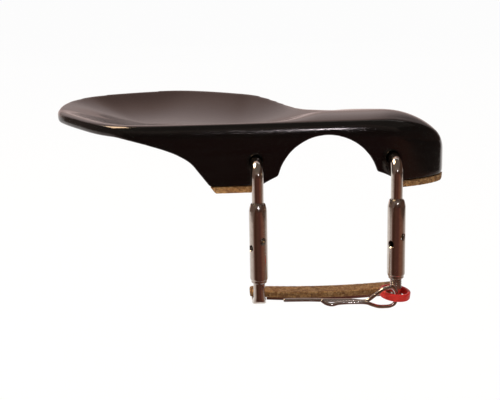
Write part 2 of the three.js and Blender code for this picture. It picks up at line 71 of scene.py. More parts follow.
# The feet and the arch
FOOT_DEPTH = 15
COVE_DEPTH = 15
COVE_TOP = 18.6
COVE_BOW = ((0.12, 0.55), (0.45, 0.9))
LEFT_FOOT_END = 39.2
LEFT_FLANK_REACH = 74
LEFT_FLANK_TOP = 20.3
LEFT_FLANK_BOW = ((0.4, 0.14), (0.755, 0.36), (0.845, 0.6))
ARCH_RADIUS = 17.3
ARCH_OFFSET = 1.2
ARCH_TOP = 19
ARCH_FLARE = 4.2
LEFT_CORNER_HEIGHT = 5.3
RIGHT_CORNER_HEIGHT = 5.9
LEFT_RELIEF_RUN = 5.9
RIGHT_RELIEF_RUN = 7.4
RELIEF_BOW = 0.45
LEFT_RELIEF_RISE = 0.7
RIGHT_RELIEF_RISE = 0.8
FOOT_CORK = 2.3
LEFT_CORK_SLANT = 1.8
RIGHT_CORK_SLANT = 0.6
CORK_INSET = 0.4

# The clamp's rods and the holes that they sit in
ROD_RADIUS = 2
ROD_CHAMFER = 0.4
ROD_TIP_RADIUS = 1.6
THREAD_TIP_RADIUS = 1.45
THREAD_PITCH = 0.7
THREAD_DEPTH = 0.32
# A groove takes a little less of the pitch than the crest beside it
GROOVE_NARROWING = 1.25
LEG_X = 23.45
LEG_Y = -7.35
HOOK_HEIGHT = 10.7
HOOK_BEND = 4
HOOK_INSERT = 11
HOOK_HOLE_DEPTH = 12
HOOK_HOLE_RADIUS = 2.12
HOOK_COUNTERSINK = 0.3
HOOK_THREAD_TOP = -1.4
HOOK_END = -14.7
HOOK_HAND = -1  # right-hand, because a ring's angles run clockwise from above
STUD_TOP = -21.6
STUD_BEND = 2.6
STUD_HAND = 1  # left-hand
TONGUE_THICKNESS = 1.3
TONGUE_WIDTH = 4.8
TONGUE_LENGTH = 6.5
TONGUE_ROUNDING = 0.3
TONGUE_END_SHARE = 0.85
# From a round rod to a tongue with flat faces and rounded corners
ROUND_POWER, SQUARING = 2, 6

# The barrels: bore, neck and shoulder below, slim taper above, and crossed key holes
BARREL_RADIUS = 3.07
BARREL_TOP = -2.1
BARREL_BOTTOM = -29.6
NECK_RADIUS = 2.7
BORE_RADIUS = 2.3
SHOULDER_TOP = 1.9
SHOULDER_HEIGHT = 0.9
TAPER_FOOT = 2.3
TAPER_LENGTH = 2.1
TAPER_DEPTH = 0.25
MOUTH_CHAMFER_HEIGHT = 0.15
LOWER_MOUTH_CHAMFER, UPPER_MOUTH_CHAMFER = 0.12, 0.14
NECK_CHAMFER, NECK_CHAMFER_FOOT, NECK_CHAMFER_TOP = 0.16, 0.04, 0.22
KEY_HOLE_RADIUS = 1
KEY_HOLE_MOUTH = 1.35
KEY_HOLE_SPACING = 2.5
# The drill for the key holes: where its chamfer starts and ends, and how far out it reaches
DRILL_CHAMFER = (2.72, 3.05)
DRILL_REACH = 6
# Corners of a barrel that turn more than this many degrees keep a hard edge
HARD_EDGE = 28

# Each leg: its side, its place along X, the wood's front face there, the lower end of its stud's thread, and its
# barrel's turn in degrees
LEGS = (("left", -LEG_X, 0, -29.4, 27), ("right", LEG_X, 0.5, -33.4, 42))

# The lower plate and its cork, seen from above: its front bows out and its back bows in
CLAMP_GAP = 34.3
LOWER_CORK = 2.2
CRESCENT_REACH = 26.4
CRESCENT_FRONT = -6
CRESCENT_FRONT_RADIUS = 93
CRESCENT_BACK_RADIUS = 125
CRESCENT_DEPTH = 7.4
CRESCENT_CORNER = 1.6

# The soft ring: its tilts are in degrees, and its walls wave inside their clearance
RING_MIDDLE = (22.9, -8.95, -34.65)
RING_INNER = 4.15
RING_OUTER = 5.35
RING_HEIGHT = 2.6
RING_EDGE = 0.5
RING_PITCH = 3.5
RING_ROLL = 7
RING_CLEARANCE = 0.06
RING_WAVE = 0.05
RING_WAVES_PER_MM = 0.28

# How far the cutting shapes run past the wood; one that cuts another runs a millimetre or two further
OVERRUN = 6
# Doubles closer than this are merged
MERGE_DISTANCE = 0.0005

# How finely the skins are divided
OUTLINE_STEPS = 220
SPREAD_STEPS = 34
SPREAD_POWER = 1.15
RIM_STEPS = 14
UNDER_RIM_STEPS = 8
FLANK_STEPS = 40
RELIEF_STEPS = 12
ARCH_SIDES = 160
HOLE_SIDES = 40
BARREL_SIDES = 96
SHOULDER_STEPS = 8
TAPER_STEPS = 10
RING_SIDES = 72
RING_CORNER_STEPS = 6
ROD_SIDES = 36
BEND_STEPS = 24
RINGS_PER_THREAD = 10
CRESCENT_STEPS = 60
CRESCENT_CORNER_STEPS = 8
KEY_STEPS = 260
KEY_SIDES = 20
WOOD_VOXEL, WOOD_SMOOTHING = 0.42, 10
CORK_VOXEL, CORK_SMOOTHING = 0.3, 2

# The relief of the cork's granules, in coarse and fine waves
CORK_RELIEF = 0.1
COARSE_WAVES_PER_MM, FINE_WAVES_PER_MM = 1.3, 3.1

# Outline of the plate from above, as shares of the reach and depth of the cup or the arm
CUP_TIP = (-1, 0.62)
ARM_TIP = (1, 0.54)
CUP_FRONT = [
    (-0.99, 0.54), (-0.966, 0.462), (-0.934, 0.379), (-0.905, 0.31), (-0.851, 0.189), (-0.804, 0.11),
    (-0.746, 0.046), (-0.66, 0.01), (-0.53, 0), (-0.38, 0), (-0.2, 0),
]
ARM_FRONT = [
    (0, 0), (0.36, 0), (0.52, 0.015), (0.64, 0.052), (0.755, 0.12), (0.857, 0.212), (0.953, 0.356),
]
ARM_BACK = [
    (0.984, 0.66), (0.92, 0.765), (0.81, 0.835), (0.66, 0.892), (0.48, 0.955), (0.32, 0.992), (0.19, 0.985),
    (0.1, 0.925), (0.02, 0.82),
]
CUP_BACK = [
    (-0.022, 0.335), (-0.048, 0.37), (-0.076, 0.438), (-0.115, 0.532), (-0.158, 0.627), (-0.203, 0.715),
    (-0.247, 0.784), (-0.294, 0.833), (-0.341, 0.879), (-0.389, 0.921), (-0.439, 0.957), (-0.488, 0.985),
    (-0.538, 1), (-0.61, 1), (-0.687, 0.986), (-0.785, 0.959), (-0.882, 0.92), (-0.927, 0.872),
    (-0.965, 0.81), (-0.991, 0.72),
]

# The spine that the plate's skin shrinks to, and how cup, arm and far side blend into each other
SPINE_START = (-0.62, 0.53)
SPINE_MIDDLE = (-0.21, 0.15)
SPINE_END = (0.52, 0.48)
SPINE_LEAD = 0.3
SPINE_TAIL = 0.2
SPINE_EASE = 0.12
CUP_FADE_START = -0.33
CUP_FADE_RUN = 0.36
FAR_FADE_START = -0.225
FAR_FADE_RUN = 0.18
FAR_EASE = 0.5
FAR_DISH_REACH = 2.5
ARM_SINK = 0.55
DISH_EASE = 0.8
END_ROLL = 1.75

# Route of the key's wire from the ring's middle, as shares of its reach, stand-off and rise
KEY_SIZE = (38.4, 4.75, 3.7)
KEY_WIRE = 0.63
KEY_TIP_SHARE = 0.72
KEY_ROUTE = [
    (-1, -0.39, -0.15), (-0.76, -0.47, -0.18), (-0.575, -0.55, -0.27), (-0.4, -0.63, -0.29),
    (-0.27, -0.69, -0.36), (-0.195, -0.8, 0.2), (-0.125, -0.89, 0.77), (-0.081, -0.81, 0.88),
    (-0.042, -0.66, 0.85), (-0.01, -0.58, 0.52), (0.003, -0.56, 0.1), (0, -0.56, -0.42), (-0.02, -0.58, -0.8),
    (-0.056, -0.62, -0.96), (-0.1, -0.66, -0.98), (-0.164, -0.77, -0.9), (-0.219, -0.91, -0.66),
    (-0.271, -0.98, -0.42), (-0.375, -0.98, -0.34), (-0.518, -0.95, -0.38), (-0.58, -0.95, -0.5),
    (-0.63, -0.94, -0.36), (-0.675, -0.91, -0.02),
]

# Camera: the photo was taken from a little left of the clamp and slightly above, with a long lens.
CAMERA_AZIMUTH, CAMERA_ELEVATION, CAMERA_ROLL = -2.8, 14, -1.1
CAMERA_TARGET = (-25.7, 0, -2.5)
CAMERA_DISTANCE = 400
SENSOR_WIDTH = 36
FOCAL_LENGTH = 84.42
CLIP_START_M = 0.01


def place_camera():
    azimuth, elevation, roll = (math.radians(a) for a in (CAMERA_AZIMUTH, CAMERA_ELEVATION, CAMERA_ROLL))
    away = Vector((
        math.sin(azimuth) * math.cos(elevation),
        -math.cos(azimuth) * math.cos(elevation),
        math.sin(elevation),
    ))
    level = (-away).cross(Vector((0, 0, 1))).normalized()
    upward = level.cross(-away)
    right = level * math.cos(roll) + upward * math.sin(roll)
    above = upward * math.cos(roll) - level * math.sin(roll)
    data = bpy.data.cameras.new("photo_camera")
    data.sensor_width = SENSOR_WIDTH
    data.lens = FOCAL_LENGTH
    data.clip_start = CLIP_START_M
    camera = bpy.data.objects.new("photo_camera", data)
    bpy.context.scene.collection.objects.link(camera)
    turn = Matrix((right, above, away)).transposed().to_4x4()
    camera.matrix_world = Matrix.Translation((Vector(CAMERA_TARGET) + away * CAMERA_DISTANCE) * MM) @ turn
    bpy.context.scene.camera = camera


place_camera()


# Materials

def linear(code):
    """A #rrggbb colour as linear RGBA."""
    parts = [int(code[i:i + 2], 16) / 255 for i in (1, 3, 5)]
    return [p / 12.92 if p <= 0.04045 else ((p + 0.055) / 1.055) ** 2.4 for p in parts] + [1]


def add(tree, kind, settings=None, links=None):
    """One node, with its settings by name or socket and its inputs linked."""
    node = tree.nodes.new(kind)
    for name, value in (settings or {}).items():
        if isinstance(name, str) and hasattr(node, name):
            setattr(node, name, value)
        else:
            node.inputs[name].default_value = value
    for name, source in (links or {}).items():
        tree.links.new(source, node.inputs[name])
    return node


def ramp(tree, source, stops):
    """A colour ramp over a value, with hex colours at its stops."""
    node = add(tree, "ShaderNodeValToRGB", links={"Fac": source})
    while len(node.color_ramp.elements) < len(stops):
        node.color_ramp.elements.new(0.5)
    for element, (place, colour) in zip(node.color_ramp.elements, stops):
        element.position = place
        element.color = linear(colour)
    return node.outputs["Color"]


def new_material(name):
    """An empty material and its node tree."""
    material = bpy.data.materials.new(name)
    material.use_nodes = True
    material.node_tree.nodes.clear()
    return material, material.node_tree


def surfaced(material, shader):
    """The material, with the shader as its surface."""
    add(material.node_tree, "ShaderNodeOutputMaterial", links={"Surface": shader.outputs[0]})
    return material


def ebony_oiled():
    """Ebony, sanded and oiled to a soft gloss: nearly black, with brown streaks along the grain and fine pores."""
    material, tree = new_material("ebony_sanded_and_oiled")
    place = add(tree, "ShaderNodeTexCoord").outputs["Object"]
    # Streaks 1.5 mm wide and about 30 mm long, along the arm
    streaks = add(tree, "ShaderNodeMapping", {"Scale": (35, 600, 600)}, {"Vector": place})
    grain = add(
        tree, "ShaderNodeTexNoise", {"Scale": 1, "Detail": 5, "Roughness": 0.6},
        {"Vector": streaks.outputs["Vector"]},
    )
    colour = ramp(tree, grain.outputs["Fac"], [(0.3, "#030506"), (0.55, "#05090a"), (0.8, "#0c0f0f")])
    # Pores 0.12 mm wide and 2 mm long
    pores = add(tree, "ShaderNodeMapping", {"Scale": (500, 7000, 7000)}, {"Vector": place})
    pits = add(
        tree, "ShaderNodeTexNoise", {"Scale": 1, "Detail": 2, "Roughness": 0.5},
        {"Vector": pores.outputs["Vector"]},
    )
    depth = add(tree, "ShaderNodeMapRange", {"From Min": 0.3, "From Max": 0.45}, {"Value": pits.outputs["Fac"]})
    sheen = add(
        tree, "ShaderNodeMapRange", {"From Min": 0.3, "From Max": 0.7, "To Min": 0.09, "To Max": 0.11},
        {"Value": grain.outputs["Fac"]},
    )
    bump = add(
        tree, "ShaderNodeBump", {"Strength": 0.12, "Distance": 0.00004}, {"Height": depth.outputs["Result"]},
    )
    return surfaced(material, add(
        tree, "ShaderNodeBsdfPrincipled", {"IOR": 1.62, "Specular Tint": linear("#fff1ec")},
        {"Base Color": colour, "Roughness": sheen.outputs["Result"], "Normal": bump.outputs["Normal"]},
    ))


def cork_granulated():
    """Agglomerated cork: tan and brown granules about a millimetre across, dark in their joints, dry and matt."""
    material, tree = new_material("cork_granulated_and_sanded")
    place = add(tree, "ShaderNodeTexCoord").outputs["Object"]
    warp = add(tree, "ShaderNodeTexNoise", {"Scale": 900, "Detail": 2}, {"Vector": place})
    bent = add(
        tree, "ShaderNodeVectorMath", {"operation": "MULTIPLY_ADD", 1: (0.0005, 0.0005, 0.0005)},
        {0: warp.outputs["Color"], 2: place},
    ).outputs["Vector"]
    # Granules 0.9 mm across
    cells = add(tree, "ShaderNodeTexVoronoi", {"Scale": 1100}, {"Vector": bent})
    joints = add(tree, "ShaderNodeTexVoronoi", {"feature": "DISTANCE_TO_EDGE", "Scale": 1100}, {"Vector": bent})
    tone = add(tree, "ShaderNodeSeparateColor", links={"Color": cells.outputs["Color"]})
    colour = ramp(
        tree, tone.outputs["Red"], [(0, "#8a5f35"), (0.35, "#a87a49"), (0.7, "#ba8c57"), (1, "#c69a66")],
    )
    speck = add(tree, "ShaderNodeTexNoise", {"Scale": 5200, "Detail": 3}, {"Vector": place})
    mottle = ramp(tree, speck.outputs["Fac"], [(0.35, "#7a5230"), (0.6, "#ffffff")])
    gap = add(
        tree, "ShaderNodeMapRange", {"From Min": 0, "From Max": 0.12, "To Min": 0.55, "To Max": 1},
        {"Value": joints.outputs["Distance"]},
    )
    # Painted shade: the lower pad's front is darkened under its top face, which is lifted a little as are the foot
    # pads, and from 20 to 30 mm to the right the pads darken, so that the right foot's pad is darkest
    parts = add(tree, "ShaderNodeSeparateXYZ", links={"Vector": place})
    painted_front_shade = add(
        tree, "ShaderNodeMapRange", {"From Min": -0.0349, "From Max": -0.0344, "To Min": 0.55, "To Max": 1.05},
        {"Value": parts.outputs["Z"]},
    )
    painted_right_shade = add(
        tree, "ShaderNodeMapRange", {"From Min": 0.02, "From Max": 0.03, "To Min": 1, "To Max": 0.72},
        {"Value": parts.outputs["X"]},
    )
    painted_shade = add(
        tree, "ShaderNodeMath", {"operation": "MULTIPLY"}, {0: painted_front_shade.outputs["Result"], 1: painted_right_shade.outputs["Result"]},
    )
    # The granules' tone is dimmed by the mottle and the joints, then by the painted shade
    for strength, layer in ((0.45, mottle), (1, gap.outputs["Result"]), (1, painted_shade.outputs["Value"])):
        colour = add(
            tree, "ShaderNodeMix", {"data_type": "RGBA", "blend_type": "MULTIPLY", "Factor": strength},
            {"A": colour, "B": layer},
        ).outputs["Result"]
    height = add(
        tree, "ShaderNodeMath", {"operation": "ADD"}, {0: gap.outputs["Result"], 1: speck.outputs["Fac"]},
    )
    bump = add(
        tree, "ShaderNodeBump", {"Strength": 0.6, "Distance": 0.00012}, {"Height": height.outputs["Value"]},
    )
    return surfaced(material, add(
        tree, "ShaderNodeBsdfPrincipled", {"Roughness": 0.88, "IOR": 1.4},
        {"Base Color": colour, "Normal": bump.outputs["Normal"]},
    ))


def nickel_plated():
    """Nickel plate on turned and drawn steel: a bright, slightly warm mirror with faint polishing haze."""
    material, tree = new_material("steel_nickel_plated")
    place = add(tree, "ShaderNodeTexCoord").outputs["Object"]
    haze = add(tree, "ShaderNodeTexNoise", {"Scale": 700, "Detail": 4, "Roughness": 0.6}, {"Vector": place})
    rough = add(
        tree, "ShaderNodeMapRange", {"From Min": 0.3, "From Max": 0.75, "To Min": 0.09, "To Max": 0.2},
        {"Value": haze.outputs["Fac"]},
    )
    tint = ramp(tree, haze.outputs["Fac"], [(0.3, "#d8d2ca"), (0.7, "#cbc4bb")])
    return surfaced(material, add(
        tree, "ShaderNodeBsdfPrincipled", {"Metallic": 1},
        {"Base Color": tint, "Roughness": rough.outputs["Result"]},
    ))


def soft_vinyl():
    """Soft cut vinyl tube: saturated red that glows a little where it is thin, with a dull, slightly waxy gloss."""
    material, tree = new_material("soft_vinyl_red")
    place = add(tree, "ShaderNodeTexCoord").outputs["Object"]
    cloud = add(tree, "ShaderNodeTexNoise", {"Scale": 420, "Detail": 3}, {"Vector": place})
    colour = ramp(tree, cloud.outputs["Fac"], [(0.3, "#b8140e"), (0.7, "#c9241c")])
    bump = add(tree, "ShaderNodeBump", {"Strength": 0.15, "Distance": 0.0001}, {"Height": cloud.outputs["Fac"]})
    return surfaced(material, add(
        tree, "ShaderNodeBsdfPrincipled",
        {
            "Roughness": 0.38, "IOR": 1.5, "Subsurface Weight": 0.25, "Subsurface Radius": (1, 0.2, 0.1),
            "Subsurface Scale": 0.0008,
        },
        {"Base Color": colour, "Normal": bump.outputs["Normal"]},
    ))


EBONY = ebony_oiled()
CORK = cork_granulated()
NICKEL = nickel_plated()
VINYL = soft_vinyl()


# Mesh helpers

def mesh_from(bm, name):
    """A mesh in metres from a bmesh in millimetres, which is freed."""
    bmesh.ops.scale(bm, vec=(MM, MM, MM), verts=bm.verts)
    mesh = bpy.data.meshes.new(name)
    bm.to_mesh(mesh)
    bm.free()
    return mesh


def linked(bm, name):
    """An object in the scene with the bmesh as its mesh."""
    piece = bpy.data.objects.new(name, mesh_from(bm, name))
    bpy.context.scene.collection.objects.link(piece)
    return piece


def show(name, bm, material, body, node):
    """A finished piece at the origin, with its finish, its body and the CAD node that it stands for."""
    piece = linked(bm, name)
    piece.data.materials.append(material)
    for polygon in piece.data.polygons:
        polygon.use_smooth = True
    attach(piece, body)
    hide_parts(node)
    return piece


def skin_over(rings, shrunk=False):
    """A skin extruded from ring to ring; its ends are closed, or have shrunk to a line and are merged."""
    bm = bmesh.new()
    spoke = bm.verts.layers.int.new("spoke")
    start = bmesh.ops.create_circle(bm, cap_ends=False, radius=1, segments=len(rings[0]))["verts"]
    for i, vert in enumerate(start):
        vert[spoke] = i
        vert.co = rings[0][i]
    first = edges = list(bm.edges)
    for ring in rings[1:]:
        grown = bmesh.ops.extrude_edge_only(bm, edges=edges)["geom"]
        edges = [g for g in grown if isinstance(g, bmesh.types.BMEdge)]
        for vert in (g for g in grown if isinstance(g, bmesh.types.BMVert)):
            vert.co = ring[vert[spoke]]
    if shrunk:
        bmesh.ops.remove_doubles(bm, verts=bm.verts, dist=MERGE_DISTANCE)
    else:
        bmesh.ops.edgeloop_fill(bm, edges=first)
        bmesh.ops.edgeloop_fill(bm, edges=edges)
    bmesh.ops.recalc_face_normals(bm, faces=bm.faces)
    return bm


def extruded(points, push):
    """A flat face through the points, extruded by push and closed."""
    bm = bmesh.new()
    face = bm.faces.new([bm.verts.new(p) for p in points])
    grown = bmesh.ops.extrude_face_region(bm, geom=[face])["geom"]
    bmesh.ops.translate(bm, vec=push, verts=[g for g in grown if isinstance(g, bmesh.types.BMVert)])
    bmesh.ops.recalc_face_normals(bm, faces=bm.faces)
    return bm


def turned(profile, sides):
    """A closed profile of (radius, height) spun round Z."""
    bm = bmesh.new()
    verts = [bm.verts.new((r, 0, z)) for r, z in profile]
    edges = [bm.edges.new((verts[i], verts[(i + 1) % len(verts)])) for i in range(len(verts))]
    bmesh.ops.spin(
        bm, geom=verts + edges, cent=(0, 0, 0), axis=(0, 0, 1), angle=2 * math.pi, steps=sides,
        use_merge=True,
    )
    bmesh.ops.remove_doubles(bm, verts=bm.verts, dist=MERGE_DISTANCE)
    bmesh.ops.recalc_face_normals(bm, faces=bm.faces)
    return bm


def turn_about(bm, *turns):
    """The bmesh, turned about the origin by each number of degrees and axis, one after the other."""
    matrix = Matrix.Identity(3)
    for degrees, axis in turns:
        matrix = Matrix.Rotation(math.radians(degrees), 3, axis) @ matrix
    bmesh.ops.rotate(bm, cent=(0, 0, 0), matrix=matrix, verts=bm.verts)
    return bm


def moved(bm, way):
    bmesh.ops.translate(bm, vec=way, verts=bm.verts)
    return bm


def after_modifiers(holder, helpers=()):
    """The holder's mesh with its modifiers, as a bmesh in millimetres; it and its helpers are removed."""
    bpy.context.view_layer.update()
    result = bpy.data.meshes.new_from_object(holder.evaluated_get(bpy.context.evaluated_depsgraph_get()))
    out = bmesh.new()
    out.from_mesh(result)
    bmesh.ops.scale(out, vec=(1 / MM, 1 / MM, 1 / MM), verts=out.verts)
    for extra in [holder, *helpers]:
        data = extra.data
        bpy.data.objects.remove(extra)
        bpy.data.meshes.remove(data)
    bpy.data.meshes.remove(result)
    return out


def joined_solid(bm, others):
    """The bmesh after exact unions, intersections and cuts with others, as a new bmesh in millimetres."""
    holder = linked(bm, "holder")
    helpers = []
    for operation, other in others:
        helpers.append(linked(other, "helper"))
        modifier = holder.modifiers.new("joint", "BOOLEAN")
        modifier.operation = operation
        modifier.solver = "EXACT"
        modifier.object = helpers[-1]
    return after_modifiers(holder, helpers)


def remeshed(bm, voxel, rounds):
    """The solid as an even skin of small quads, with its edges eased by a few rounds of smoothing."""
    holder = linked(bm, "holder")
    modifier = holder.modifiers.new("even", "REMESH")
    modifier.mode = "VOXEL"
    modifier.voxel_size = voxel * MM
    out = after_modifiers(holder)
    for _ in range(rounds):
        bmesh.ops.smooth_vert(out, verts=out.verts, factor=0.5, use_axis_x=True, use_axis_y=True, use_axis_z=True)
    return out


# Curves

def through(points, count):
    """Evenly spaced points on a centripetal curve through the given ones."""
    spots = [Vector(p) for p in points]
    ends = [2 * spots[0] - spots[1]] + spots + [2 * spots[-1] - spots[-2]]
    dense = []
    fineness = 60
    for i in range(len(spots) - 1):
        a, b, c, d = ends[i:i + 4]
        before, middle, after = ((b - a).length ** 0.5, (c - b).length ** 0.5, (d - c).length ** 0.5)
        lead = ((b - a) / before - (c - a) / (before + middle) + (c - b) / middle) * middle
        trail = ((c - b) / middle - (d - b) / (middle + after) + (d - c) / after) * middle
        for step in range(fineness):
            t = step / fineness
            dense.append(
                b + lead * t + (3 * (c - b) - 2 * lead - trail) * t ** 2
                + (2 * (b - c) + lead + trail) * t ** 3
            )
    dense.append(spots[-1])
    return evenly(dense, count)


def evenly(dense, count):
    """count + 1 points at equal steps along a line of many short pieces."""
    run = [0]
    for a, b in zip(dense, dense[1:]):
        run.append(run[-1] + (b - a).length)
    made = []
    at = 0
    for step in range(count + 1):
        goal = run[-1] * step / count
        while at < len(run) - 2 and run[at + 1] < goal:
            at += 1
        share = (goal - run[at]) / (run[at + 1] - run[at])
        made.append(dense[at].lerp(dense[at + 1], share))
    return made


def bezier(a, b, c, d, steps):
    """steps + 1 points on a cubic curve."""
    made = []
    for step in range(steps + 1):
        t = step / steps
        s = 1 - t
        made.append(tuple(
            s ** 3 * p + 3 * s * s * t * q + 3 * s * t * t * r + t ** 3 * u for p, q, r, u in zip(a, b, c, d)
        ))
    return made


def bowed(a, b, c, steps):
    """A quadratic curve, as a cubic one."""
    lead = tuple(p + 2 / 3 * (q - p) for p, q in zip(a, b))
    trail = tuple(r + 2 / 3 * (q - r) for q, r in zip(b, c))
    return bezier(a, lead, trail, c, steps)


def smooth(value):
    """From 0 to 1 with level ends."""
    share = min(1, max(0, value))
    return share * share * (3 - 2 * share)


def eased_past(value, ease):
    """The value where it is above 0, and 0 below, with the bend between them rounded."""
    return value if value > ease else max(0, value + ease) ** 2 / (4 * ease)


# The carved wood

def on_cup(share):
    return Vector((share[0] * CUP_REACH, share[1] * CUP_DEPTH, 0))


def on_arm(share):
    return Vector((share[0] * ARM_REACH, share[1] * ARM_DEPTH, 0))


def spine_share(along):
    """How far along the spine a place of the outline ends; it rests at both of the spine's ends."""
    share = (along - SPINE_LEAD) / (1 - SPINE_LEAD - SPINE_TAIL)
    return 1 - eased_past(1 - eased_past(share, SPINE_EASE), SPINE_EASE)


def stations():
    """Places round the outline.

    Each has its point, its end on the spine, its rim's rounding in and down, how far it is cup, how far it is the
    far side, and its rise.
    """
    near = through(
        [on_cup(CUP_TIP)] + [on_cup(s) for s in CUP_FRONT] + [on_arm(s) for s in ARM_FRONT] + [on_arm(ARM_TIP)],
        OUTLINE_STEPS,
    )
    back = through(
        [on_arm(ARM_TIP)] + [on_arm(s) for s in ARM_BACK] + [on_cup(s) for s in CUP_BACK] + [on_cup(CUP_TIP)],
        OUTLINE_STEPS,
    )
    back.reverse()
    start, middle, end = on_cup(SPINE_START), on_cup(SPINE_MIDDLE), on_arm(SPINE_END)
    made = []
    for points, far in ((near, False), (back, True)):
        row = []
        for step, point in enumerate(points):
            along = step / OUTLINE_STEPS
            t = spine_share(along)
            inner = start * (1 - t) ** 2 + middle * 2 * t * (1 - t) + end * t * t
            cup = 1 - smooth((inner.x / CUP_REACH - CUP_FADE_START) / CUP_FADE_RUN)
            plain = RIM_RADIUS + (ARM_EDGE - RIM_RADIUS) * (1 - cup)
            away = smooth(FAR_DISH_REACH * math.sin(math.pi * along)) if far else 0
            begun = smooth((point.x - FRONT_START) / FRONT_START_RUN)
            front = 0 if far else begun * (1 - smooth((point.x - FRONT_END) / FRONT_END_RUN))
            edge, fall = (plain + front * (a * cup + b * (1 - cup) - plain) for a, b in (FRONT_EDGE, FRONT_FALL))
            edge += front * SHOULDER_EDGE * smooth((point.x - SHOULDER_START) / SHOULDER_RUN)
            rise = smooth(max(0, math.sin(math.pi * along)) ** FAR_EASE) if far else 0
            high = 1 - smooth((point.x / CUP_REACH - FAR_FADE_START) / FAR_FADE_RUN)
            low = ARM_ROOT_RAISE - (ARM_ROOT_RAISE + ARM_FAR_DROP) * smooth(point.x / ARM_REACH / ARM_SINK)
            row.append((point, inner, edge, fall, cup, away, rise * (low + (CUP_FAR_RAISE - low) * high)))
        made.append(row)
    return made[0] + made[1][-2:0:-1]


STATIONS = stations()
SPREADS = [(step / SPREAD_STEPS) ** SPREAD_POWER for step in range(SPREAD_STEPS + 1)]


def ring_at(inset, height):
    """A ring of the plate at an inset from its outline; inset and height are functions or numbers."""
    ring = []
    for point, inner, edge, fall, cup, away, rise in STATIONS:
        inward = inner - point
        length = inward.length
        reach = inset(length, edge) if callable(inset) else inset
        spot = point + inward * (reach / length)
        spot.z = height(spot, fall, cup, away, rise) if callable(height) else height
        ring.append(spot)
    return ring


def to_spine(length, _):
    return length


def spread(share):
    """An inset that is a share of the way from the rim's inner edge to the spine."""
    return lambda length, edge: edge + share * (length - edge)


def end_drop(x):
    """How far the arm's top has rolled down towards its right end."""
    share = min(1, max(0, (x - ARM_REACH + ARM_END_RUN) / ARM_END_RUN))
    return ARM_END_DROP * (1 - (1 - share ** END_ROLL) ** (1 / END_ROLL))


def top(share, sink=0, sink_share=0):
    """The height of the plate's top at a share of the way to the spine, sunk by sink or by a share of its fall."""
    eased = 1 - (1 - share) ** 2

    def height(spot, fall, cup, away, rise):
        near = smooth(share ** DISH_EASE)
        dish = DISH_DROP * cup * (near + away * (eased - near))
        crown = ARM_CROWN * (1 - cup) * eased
        return REST_HEIGHT + rise * (1 - eased) + crown - dish - end_drop(spot.x) - sink - fall * sink_share
    return height


def under(share, lift=0):
    """The height of the plate's underside, which thickens towards the spine."""
    wall = RIM_WALL + (PLATE_THICKNESS - RIM_WALL) * smooth(share)
    return top(share, wall - lift)


def plate_column():
    """The plate's top, its rounded rim, and its outline straight down past the feet."""
    rings = [ring_at(spread(share), top(share)) for share in reversed(SPREADS)]
    for step in range(1, RIM_STEPS + 1):
        angle = (1 - step / RIM_STEPS) * math.pi / 2
        inset = 1 - math.cos(angle)
        rings.append(ring_at(lambda length, edge: edge * inset, top(0, 0, 1 - math.sin(angle))))
    rings += [ring_at(0, -OVERRUN), ring_at(to_spine, -OVERRUN)]
    return skin_over(rings, shrunk=True)


def above_underside():
    """All the space over the plate's underside, with the lower edge of its rim rounded."""
    ceiling = REST_HEIGHT + ARM_CROWN + CUP_FAR_RAISE + OVERRUN
    rings = [
        ring_at(to_spine, ceiling), ring_at(-OVERRUN, ceiling), ring_at(-OVERRUN, under(0, RIM_RADIUS)),
    ]
    for step in range(UNDER_RIM_STEPS):
        angle = step / UNDER_RIM_STEPS * math.pi / 2
        lift = RIM_RADIUS * UNDER_RIM_SHARE * (1 - math.sin(angle))
        rings.append(ring_at(RIM_RADIUS * (1 - math.cos(angle)), under(0, lift)))
    rings += [ring_at(spread(share), under(share)) for share in SPREADS]
    return skin_over(rings, shrunk=True)


def corner_x(side, height):
    """Where the arch's side is at a height."""
    below = ARCH_TOP - ARCH_RADIUS - height
    return ARCH_OFFSET + side * math.sqrt(ARCH_RADIUS ** 2 - below ** 2)


LEFT_CORNER = (corner_x(-1, LEFT_CORNER_HEIGHT), LEFT_CORNER_HEIGHT)
RIGHT_CORNER = (corner_x(1, RIGHT_CORNER_HEIGHT), RIGHT_CORNER_HEIGHT)
LEFT_INNER = LEFT_CORNER[0] - LEFT_RELIEF_RUN
RIGHT_INNER = RIGHT_CORNER[0] + RIGHT_RELIEF_RUN


def foot_blocks():
    """The feet drawn from the front, with the left flank and the reliefs beside the arch."""
    ceiling = REST_HEIGHT + OVERRUN
    run = LEFT_FLANK_REACH - LEFT_FOOT_END
    rise = LEFT_FLANK_TOP - FOOT_CORK
    flank = [(-LEFT_FLANK_REACH + a * run, LEFT_FLANK_TOP - b * rise) for a, b in ((0, 0), *LEFT_FLANK_BOW)]
    points = [(-LEFT_FLANK_REACH, ceiling)]
    points += bezier(*flank, FLANK_STEPS)
    points += [(-LEFT_FOOT_END, FOOT_CORK)]
    left_bow = (
        LEFT_CORNER[0] - RELIEF_BOW * LEFT_RELIEF_RUN,
        FOOT_CORK + LEFT_RELIEF_RISE * (LEFT_CORNER[1] - FOOT_CORK),
    )
    points += bowed((LEFT_INNER, FOOT_CORK), left_bow, LEFT_CORNER, RELIEF_STEPS)
    points += [(ARCH_OFFSET, ARCH_TOP - ARCH_RADIUS + LEFT_CORNER_HEIGHT)]
    right_bow = (
        RIGHT_CORNER[0] + RELIEF_BOW * RIGHT_RELIEF_RUN,
        FOOT_CORK + RIGHT_RELIEF_RISE * (RIGHT_CORNER[1] - FOOT_CORK),
    )
    points += bowed(RIGHT_CORNER, right_bow, (RIGHT_INNER, FOOT_CORK), RELIEF_STEPS)
    points += [(ARM_REACH + OVERRUN, FOOT_CORK), (ARM_REACH + OVERRUN, ceiling)]
    return extruded([(x, -OVERRUN, z) for x, z in points], (0, OVERRUN + FOOT_DEPTH + COVE_DEPTH, 0))


